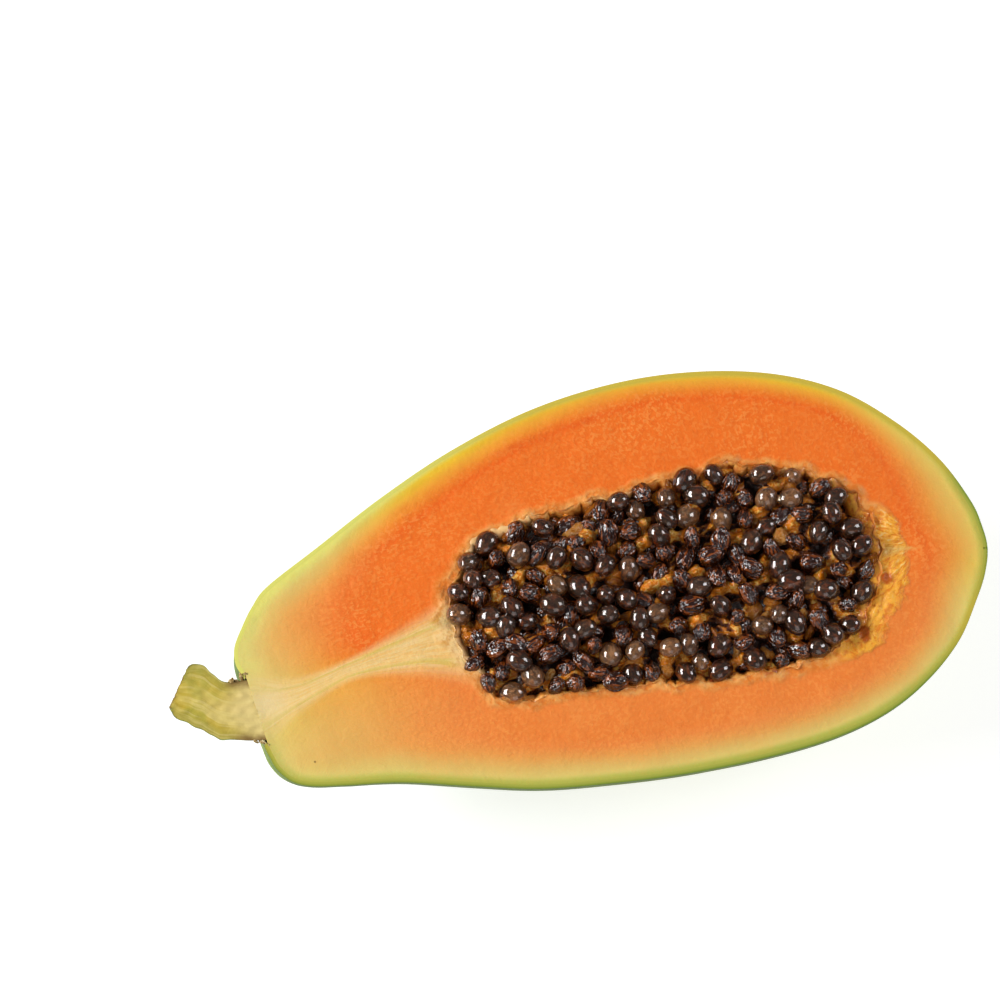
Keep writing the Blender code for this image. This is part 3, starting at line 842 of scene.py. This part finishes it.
def skin_finish():
    """Green waxy skin with yellow patches, pale specks and faint pores. Its cut edge turns from
    yellow to green round the fruit."""
    f = Finish("papaya_skin", Specular_IOR_Level=0.08, Coat_Roughness=0.25)
    where = f.place()
    patches = f.noise(where, 22.0, 3.0, 0.55).rise(0.36, 0.68)
    broad = f.noise(where, 9.0, 2.0).rise(0.45, 0.72)
    fine = f.noise(where, 260.0, 3.0, 0.6)
    dots = 1 - f.cells(where, 420.0).rise(0.05, 0.17)
    here = f.noise(where, 60.0, 1.0).rise(0.52, 0.6)
    scratch = f.noise(f.stretched(where, (30.0, 420.0, 300.0)), 1.0, 2.0, 0.5, 1.2)
    outer = f.layers(
        (0.10, 0.205, 0.03),
        ((0.27, 0.345, 0.04), patches),
        ((0.42, 0.43, 0.05), broad * 0.6),
        ((0.06, 0.15, 0.025), fine.rise(0.5, 0.75) * 0.35),
        ((0.40, 0.44, 0.2), dots * here * 0.5),
        ((0.33, 0.36, 0.14), scratch.rise(0.68, 0.74) * 0.35),
    )
    cut = f.field("cut")
    leafy = f.mix((0.17, 0.25, 0.03), (0.36, 0.38, 0.06), cut.rise(0.0, 0.8))
    golden = f.mix((0.57, 0.43, 0.055), (0.66, 0.64, 0.14), f.field("yellow").rise(0.0, 0.7))
    edge = f.mix(golden, leafy, f.field("green").rise(0.05, 0.95))
    # Within about 1.5 mm under the cut edge the outer skin is painted plain dark green, rising to its
    # patterned green by 9 mm down: painted shade along the cut edge.
    colour = f.layers(
        (0.10, 0.16, 0.016),
        (outer, f.field("depth").rise(1.5, 9.0)),
        (edge, cut.rise(-0.05, 0.05)),
    )
    pores = f.cells(where, 900.0) * 0.4 + fine * 0.6
    f.put(
        Base_Color=colour,
        Roughness=0.44 + fine * 0.16,
        Coat_Weight=0.02 * fine,
        Normal=f.relief(pores, 0.16, 0.0003),
    )
    return f.material


def ripe_flesh(f, where, grain, dashes, cloud, broad):
    """Flesh coloured by its ripeness, from yellow-green at the rim to deep orange, with pale flecks
    and a darker grain, and painted paler on its lower side as a soft reflection. Returns the colour, and
    where the flesh is ripe enough to be grainy."""
    sway = (cloud - 0.5) * 0.16 + (broad - 0.5) * 0.16 + (grain - 0.5) * 0.03
    ripe = (f.field("ripe") + sway) * 0.8
    yellow, low_side = f.field("yellow"), f.field("low_side")
    upper = f.shades(
        ripe,
        (0.0, (0.74, 0.67, 0.11)), (0.12, (0.79, 0.52, 0.03)), (0.32, (0.81, 0.36, 0.035)),
        (0.56, (0.81, 0.21, 0.022)), (0.74, (0.80, 0.135, 0.013)), (0.9, (0.82, 0.165, 0.018)),
    )
    # The lower side's paler, pastel palette is a painted soft reflection over the flesh's own colour.
    lower = f.shades(
        ripe,
        (0.0, (0.66, 0.61, 0.14)), (0.12, (0.70, 0.54, 0.15)), (0.28, (0.71, 0.45, 0.12)),
        (0.48, (0.77, 0.33, 0.075)), (0.68, (0.80, 0.24, 0.05)), (0.85, (0.80, 0.215, 0.038)),
    )
    body = f.layers(
        upper,
        (lower, low_side),
        ((0.74, 0.69, 0.17), yellow.rise(0.4, 1.0) * (1 - ripe.rise(0.02, 0.22))),
    )
    colour = f.layers(
        f.mix((0.60, 0.45, 0.06), (0.76, 0.70, 0.16), yellow.rise(0.0, 0.7)),
        (body, f.field("from_rim").rise(-0.3, 1.1)),
        ((0.40, 0.42, 0.068), f.field("green").rise(0.0, 1.0) * 0.9),
        ((0.84, 0.30, 0.07), f.noise(where, 45.0, 4.0, 0.6).rise(0.5, 0.78) * 0.25),
    )
    meaty = ripe.rise(0.25, 0.6)
    fleck = f.mix(colour, (0.92, 0.36, 0.08), 0.6)
    flecked = dashes.rise(0.48, 0.6) * (0.35 + 0.5 * cloud.rise(0.4, 0.7)) * (0.1 + 0.65 * meaty)
    colour = f.mix(colour, fleck, flecked)
    shade = f.mix(colour, (0.70, 0.09, 0.008), 0.2 - low_side * 0.12)
    colour = f.layers(
        colour,
        (shade, (1 - grain.rise(0.34, 0.5)) * meaty),
        ((0.66, 0.075, 0.008), f.field("streak") * cloud.rise(0.35, 0.62) * 0.6),
    )
    return colour, meaty


def strands_over(f, colour, cloud):
    """Cream strands with greenish lines from the stem's foot to the cavity, over a colour. Returns
    the colour, the strands' share and their relief."""
    fan, here, along = f.field("fan"), f.field("fan_here"), f.field("along")
    off = abs(fan)
    tips = f.add("ShaderNodeCombineXYZ", {}, {0: fan * 2.2, 1: along * 0.045, 2: 0.0})
    strands = f.noise(tips, 2.6, 4.0, 0.62, 0.35)
    cream = f.mix((0.79, 0.52, 0.17), (0.81, 0.58, 0.25), strands.rise(0.38, 0.62))
    share = (1 - (off + (strands - 0.5) * 0.5).rise(0.8, 2.2)) * here
    line = 1 - abs(off + strands - 1.4).rise(0.03, 0.25)
    threads = line.most(strands.rise(0.6, 0.7) * (1 - off.rise(0.7, 1.1)) * 0.6)
    colour = f.layers(
        colour,
        (cream, share * (0.82 + 0.15 * strands.rise(0.3, 0.6))),
        ((0.60, 0.47, 0.08), threads * here * 0.5),
        ((0.66, 0.53, 0.17), (1 - along.rise(0.0, 9.0)) * here * 0.6),
        ((0.75, 0.59, 0.30), f.field("foot") * (0.6 + 0.4 * cloud)),
    )
    return colour, share, strands * here * 0.25


def juice_over(f, colour, where, cloud, broad, strands):
    """The wet fringe of the cavity over a colour: orange to cream, stringy amber gel at the blossom
    end, tan by the strands, and stained, with painted shade near the cavity's edge. Returns the colour, the
    wetness, the gel and the relief."""
    outside, gel = f.field("outside"), f.field("gel")
    fringe = f.noise(where, 420.0, 3.0, 0.62)
    wet = outside + (cloud - 0.5) * 0.9 + (fringe - 0.5) * 0.9
    wet = 1 - wet.rise(gel * 0.4 + 0.35, 1.15)
    threads = f.noise(f.field("gel_at", "Vector"), 2.4, 4.0, 0.6, 0.6)
    amber = f.layers(
        (0.68, 0.19, 0.012),
        ((0.90, 0.43, 0.045), threads.rise(0.34, 0.56)),
        ((0.93, 0.70, 0.28), (threads - f.field("low_side") * 0.08).rise(0.54, 0.68)),
    )
    tan = f.mix((0.62, 0.30, 0.07), (0.82, 0.56, 0.26), fringe.rise(0.4, 0.6))
    juicy = f.layers(
        (0.72, 0.21, 0.03),
        ((0.84, 0.42, 0.12), fringe.rise(0.36, 0.64)),
        ((0.84, 0.60, 0.27), (fringe + (broad - 0.5) * 0.6).rise(0.6, 0.74) * (1 - gel) * 0.6),
        (amber, gel * 0.85),
        (tan, strands * 0.9),
    )
    # Red-brown patches near the cavity's edge: partly juice stain, partly painted shade where the border
    # seeds sit over the flesh.
    near = 1 - (outside + (fringe - 0.5) * 0.5).rise(0.1, 0.75)
    stain_and_shade = f.noise(where, 150.0, 2.0, 0.5).rise(0.5, 0.6) * near
    deep = (f.field("deep") + (fringe - 0.5) * 0.8).rise(0.35, 0.75)
    colour = f.layers(
        colour,
        (juicy, wet * (0.75 + 0.25 * gel)),
        ((0.82, 0.50, 0.13), f.field("wedge") * (0.4 + 0.6 * threads.rise(0.35, 0.6))),
        ((0.34, 0.05, 0.008), stain_and_shade * (1 - strands) * (1 - gel) * 0.25),
        ((0.42, 0.06, 0.006), deep * 0.85),
    )
    return colour, wet, gel, fringe * wet * 2.4 + threads * gel * wet * 1.6


def flesh_finish():
    """Ripe orange flesh that pales through yellow to yellow-green at the rim, with a fine grain
    square to the rim, cream strands from the stem to the cavity, and a wet edge by the seeds."""
    f = Finish(
        "papaya_flesh", Specular_IOR_Level=0.14, Subsurface_Weight=0.12, Subsurface_Scale=0.003,
        Subsurface_Radius=(1.0, 0.4, 0.15), Coat_Roughness=0.1,
    )
    where = f.place()
    grain = f.noise(where, 850.0, 2.0, 0.5, 0.4)
    square = f.noise(f.field("grain", "Vector"), 1.4, 1.0, 0.45, 0.3)
    dashes = f.noise(where, 1150.0, 1.0, 0.45, 0.3) * 0.65 + square * 0.35
    cloud, broad = f.noise(where, 70.0, 3.0, 0.55), f.noise(where, 22.0, 2.0, 0.5)
    colour, meaty = ripe_flesh(f, where, grain, dashes, cloud, broad)
    colour, strands, ridges = strands_over(f, colour, cloud)
    colour, wet, gel, lumps = juice_over(f, colour, where, cloud, broad, strands)
    spot = {0: where, 1: tuple(placed(np.array([*SPECK, 0.0])))}
    speck = 1 - f.add("ShaderNodeVectorMath", {"operation": "DISTANCE"}, spot, 1).rise(0.0001, 0.0004)
    height = (grain * 0.5 + dashes * 0.6) * (0.3 + 0.7 * meaty) + f.noise(where, 900.0, 2.0) * 0.35
    f.put(
        Base_Color=f.mix(colour, (0.16, 0.08, 0.02), speck * 0.8),
        Roughness=0.5 - wet * 0.27 + (grain - 0.5) * 0.15,
        Coat_Weight=0.01 + wet * (0.5 - 0.38 * gel),
        Normal=f.relief(height + ridges + lumps, 0.45, 0.0006),
    )
    return f.material


def pulp_finish():
    """Moist stringy pulp, tan and amber on its lip, and painted dark red-brown lower down as shade."""
    f = Finish("papaya_pulp", Specular_IOR_Level=0.5, Coat_Roughness=0.08)
    where = f.place()
    lumps = f.noise(where, 760.0, 3.0, 0.68)
    broad = f.noise(where, 130.0, 2.0, 0.5)
    lift, right_end, torn = f.field("lift"), f.field("right_end"), f.field("torn")
    rough = lumps - 0.5
    tan = (broad + rough * 0.4 + torn * 0.35).rise(0.52, 0.7)
    clear = f.mix((0.70, 0.18, 0.008), (0.92, 0.40, 0.03), lumps.rise(0.36, 0.6))
    lip = f.layers(
        (0.62, 0.17, 0.016),
        ((0.80, 0.36, 0.07), lumps.rise(0.38, 0.62)),
        ((0.84, 0.54, 0.23), tan * (0.55 + torn * 0.2 + rough * 0.8)),
        (clear, right_end),
    )
    stained = f.mix((0.36, 0.06, 0.008), lip, (broad + rough * 0.2 + torn * 0.2).rise(0.32, 0.42))
    # Dark red-brown where the lining is low and bright on its lip: painted shade down the cavity wall, with
    # random tone from the noise.
    colour = f.layers(
        (0.20, 0.035, 0.004),
        ((0.62, 0.18, 0.012), (broad + right_end * 0.1).rise(0.4, 0.6)),
        (stained, (lift + rough * 0.5 + torn * 0.3).rise(0.05, 0.6)),
    )
    f.put(
        Base_Color=colour,
        Roughness=0.34 + lumps * 0.2,
        Coat_Weight=0.25 + right_end * 0.5,
        Normal=f.relief(lumps, 0.45, 0.0005),
    )
    return f.material


def bed_finish():
    """The juicy bed under the seeds: amber on its lumps, and painted shade from red-brown to black in the
    hollows between them.
    """
    f = Finish("papaya_seed_bed", Specular_IOR_Level=0.5, IOR=1.6)
    where = f.place()
    patches = f.noise(where, 800.0, 3.0, 0.68, 0.8)
    # high: the lump's height with random patches. The hollows get painted shade, red-brown to black, and the
    # tops amber.
    high = (f.field("lumps") + patches - 0.5).rise(-0.5, 0.8)
    colour = f.layers(
        (0.025, 0.006, 0.002),
        ((0.34, 0.075, 0.006), high),
        ((0.72, 0.20, 0.006), high.rise(0.4, 0.85)),
        ((0.90, 0.52, 0.10), high.rise(0.5, 0.9) * patches.rise(0.5, 0.6) * 0.9),
    )
    f.put(Base_Color=colour, Roughness=0.08 + patches * 0.1, Normal=f.relief(patches, 1.0, 0.0012))
    return f.material


def scrap_finish():
    """Scraps of pulp between the seeds: amber to cream, fibrous, wet and partly clear."""
    f = Finish("papaya_scraps", Specular_IOR_Level=0.5, IOR=1.6, Transmission_Weight=0.3)
    own, lot = f.field("own", "Vector"), f.field("lot")
    strings = f.noise(f.stretched(own, (1.0, 2.0, 2.0)), 2.4, 4.0, 0.68, 0.8)
    colour = f.mix((0.44, 0.085, 0.004), (0.78, 0.27, 0.016), (strings + (lot - 0.5) * 0.2).rise(0.32, 0.6))
    colour = f.mix(colour, (0.90, 0.58, 0.22), lot.rise(0.6, 1.1) * strings.rise(0.42, 0.6))
    f.put(Base_Color=colour, Roughness=0.06 + strings * 0.1, Normal=f.relief(strings, 1.0, 0.0010))
    return f.material


def scar_finish():
    """Dry cracked bark, brown with cream torn fibres."""
    f = Finish("stem_scar", Specular_IOR_Level=0.2)
    own = f.field("own", "Vector")
    strings = f.noise(own, 1.8, 3.0, 0.65)
    colour = f.mix((0.20, 0.10, 0.03), (0.52, 0.34, 0.11), strings.rise(0.38, 0.5))
    colour = f.mix(colour, (0.82, 0.68, 0.38), strings.rise(0.5, 0.6))
    f.put(Base_Color=colour, Roughness=0.65 + strings * 0.2, Normal=f.relief(strings, 0.8, 0.0008))
    return f.material


def core_finish():
    """The dark wrinkled cores inside the jelly coats, seen browner in the paler seeds."""
    f = Finish("seed_core", Specular_IOR_Level=0.6)
    own, lot = f.field("own", "Vector"), f.field("lot")
    mottle = f.noise(f.stretched(own, (1.0, 1.5, 1.5)), 1.5, 2.0, 0.5, 0.6)
    colour = f.mix((0.028, 0.006, 0.002), (0.23, 0.066, 0.016), mottle.rise(0.45, 0.72))
    colour = f.mix(colour, (0.50, 0.25, 0.11), lot.rise(0.35, 0.95) * (0.4 + 0.3 * mottle.rise(0.4, 0.6)))
    f.put(Base_Color=colour, Roughness=0.3 + mottle * 0.2, Normal=f.relief(mottle, 0.8, 0.0012))
    return f.material


def coat_finish():
    """The clear wet jelly coat round a seed, brown in some and faintly golden in others."""
    f = Finish(
        "seed_jelly", Transmission_Weight=0.995, IOR=1.38, Roughness=0.01, Specular_IOR_Level=0.5,
        Coat_Weight=1.0, Coat_Roughness=0.01, Coat_IOR=1.65,
    )
    own, lot = f.field("own", "Vector"), f.field("lot")
    cloud = f.noise(own, 1.1, 3.0, 0.5)
    colour = f.mix((0.82, 0.42, 0.17), (0.98, 0.80, 0.55), (lot + (cloud - 0.5) * 0.5).rise(0.0, 0.8))
    f.put(Base_Color=colour, Normal=f.relief(cloud, 0.3, 0.001))
    return f.material


def bare_finish(name, shade):
    """Bare seeds: dark red-brown, ridged lengthwise and warty, and wet, so that they glint."""
    f = Finish(name, Specular_IOR_Level=0.5, IOR=1.78)
    own = f.field("own", "Vector")
    ridges = f.noise(f.stretched(own, (0.8, 2.0, 2.0)), 1.35, 1.0, 0.5, 0.8)
    warts = f.cells(own, 2.8)
    height = ridges * 0.8 + (1 - warts) * 0.35
    # shade scales the colour: 1 for the top seeds, 0.7 for the seeds under them, a darker copy as painted
    # shade.
    low, high = np.array([(0.018, 0.002, 0.0), (0.25, 0.055, 0.008)]) * shade
    f.put(Base_Color=f.mix(low, high, ridges.rise(0.46, 0.68)), Roughness=0.02 + ridges * 0.04)
    f.put(Normal=f.relief(height, 1.0, 0.0008))
    return f.material


def stem_finish():
    """The stem: a fibrous yellow-green cut face with brown edges, and green-brown bark."""
    f = Finish("papaya_stem", Specular_IOR_Level=0.35)
    where = f.place()
    side, far, cut = f.field("side"), f.field("far"), f.field("cut")
    threads = f.add("ShaderNodeCombineXYZ", {}, {0: side * 5.0, 1: far * 0.8, 2: 0.0})
    fibre = f.noise(threads, 1.1, 3.0, 0.55, 0.2)
    mottle = f.noise(where, 200.0, 3.0, 0.6)
    off, wander, blot = abs(side), fibre - 0.5, mottle - 0.5
    middle = 1 - abs(side + 0.1 + wander * 0.4).rise(0.1, 0.55)
    lobe = far.rise(0.3, 0.75) * side.rise(-0.1, 0.7)
    face = f.layers(
        (0.46, 0.33, 0.03),
        ((0.56, 0.43, 0.08), fibre.rise(0.35, 0.65)),
        ((0.35, 0.33, 0.035), mottle.rise(0.44, 0.7) * 0.6),
        ((0.60, 0.46, 0.13), middle * (1 - far.rise(0.4, 0.85)) * 0.7),
        ((0.33, 0.31, 0.05), lobe * mottle.rise(0.3, 0.6) * 0.7),
    )
    border = (off + blot * 0.3 + wander * 0.3).rise(0.45, 0.98)
    lines = fibre.rise(0.5, 0.6) * (1 - fibre.rise(0.6, 0.7))
    face = f.layers(
        (0.65, 0.50, 0.18),
        (face, (far + off * 0.12 + wander * 0.2).rise(0.1, 0.5)),
        ((0.31, 0.27, 0.03), border * (0.1 + far.rise(0.0, 0.35) * 0.7)),
        ((0.68, 0.55, 0.20), lines * (1 - far.rise(0.6, 0.95)) * 0.4),
    )
    crack = (off + blot * 0.4).rise(0.62, 0.95) * (1 - (far + blot * 0.2).rise(0.15, 0.35))
    colour = f.layers(
        (0.16, 0.21, 0.03),
        ((0.30, 0.27, 0.07), mottle.rise(0.45, 0.7)),
        (face, cut.rise(0.3, 0.7)),
        ((0.20, 0.11, 0.03), (far + blot * 0.12).rise(0.95, 1.0) * 0.85),
        ((0.17, 0.085, 0.02), crack * 0.85),
    )
    relief = f.relief(fibre * 0.5 + mottle * 0.8, 0.6, 0.0008)
    f.put(Base_Color=colour, Roughness=0.5 + mottle * 0.2, Normal=relief)
    return f.material


# The picture

def soft_light(name, power, size, place, colour):
    """A soft box that faces the fruit."""
    lamp = bpy.data.lights.new(name, "AREA")
    lamp.shape = "RECTANGLE"
    lamp.energy, lamp.color = power, colour
    lamp.size, lamp.size_y = size
    made = bpy.data.objects.new(name, lamp)
    made.location = place
    made.rotation_euler = (-Vector(place)).to_track_quat("-Z", "Y").to_euler()
    bpy.context.scene.collection.objects.link(made)


def make_camera():
    """The camera at the photograph's angle, aimed so that the cut face fills the same place."""
    a, e = math.radians(CAMERA_AZIMUTH), math.radians(CAMERA_ELEVATION)
    target = Vector(placed(np.array([*LOOKED_AT, 0.0])))
    back = Vector((math.sin(a) * math.cos(e), -math.cos(a) * math.cos(e), math.sin(e)))
    lens = bpy.data.cameras.new("camera")
    lens.lens, lens.sensor_width = CAMERA_LENS, 36.0
    lens.clip_start, lens.clip_end = 0.01, 20.0
    camera = bpy.data.objects.new("camera", lens)
    camera.location = target + back * CAMERA_DISTANCE
    camera.rotation_euler = (math.pi / 2 - e, 0.0, a)
    bpy.context.scene.collection.objects.link(camera)
    bpy.context.scene.camera = camera


def make_floor():
    """A plain pale floor, well beyond the picture's edges."""
    mesh = bpy.data.meshes.new("floor")
    reach, below = 3.0, -0.02 * MM  # below, so that it doesn't share a plane with the flat spot
    corners = [(-reach, -reach), (reach, -reach), (reach, reach), (-reach, reach)]
    mesh.from_pydata([(*corner, below) for corner in corners], [], [(0, 1, 2, 3)])
    floor = shown("floor", mesh)
    f = Finish("floor_paint", Roughness=0.8, Specular_IOR_Level=0.1)
    f.put(Base_Color=(0.58, 0.58, 0.58), Emission_Color=(1.0, 1.0, 1.0), Emission_Strength=0.68)
    floor.data.materials.append(f.material)


def make_light():
    """Dim white room light and soft boxes: a bright wide one at the left, a small one at the right
    that glints on the seeds, and a weak one in front."""
    world = bpy.data.worlds.new("room")
    world.use_nodes = True
    background = world.node_tree.nodes["Background"]
    background.inputs["Color"].default_value = (1.0, 1.0, 1.0, 1.0)
    background.inputs["Strength"].default_value = ROOM_LIGHT
    bpy.context.scene.world = world
    for name, box in SOFT_BOXES.items():
        soft_light(name, *box)
    bpy.context.scene.view_settings.view_transform = "Standard"


def dress(piece, material, node):
    """Gives a piece its finish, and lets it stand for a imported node."""
    piece.data.materials.append(material)
    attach(piece, "root")
    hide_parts(node)


def main():
    make_camera()
    make_light()
    make_floor()
    dress(make_skin(), skin_finish(), "skin")
    dress(make_flesh(), flesh_finish(), "flesh")
    dress(make_pulp(), pulp_finish(), "pulp")
    seeds = make_seeds()
    dress(seeds["cores"], core_finish(), "seeds")
    dress(seeds["coats"], coat_finish(), "seeds")
    dress(seeds["bare"], bare_finish("seed_bare", 1.0), "seeds")
    # The seeds under the top layer: the bare seeds' finish made darker, as painted shade.
    dress(seeds["under"], bare_finish("seed_under_shaded", 0.7), "seeds")
    dress(seeds["scraps"], scrap_finish(), "seeds")
    dress(seeds["bed"], bed_finish(), "seeds")
    dress(make_scars(), scar_finish(), "stem")
    dress(make_stem(), stem_finish(), "stem")


main()
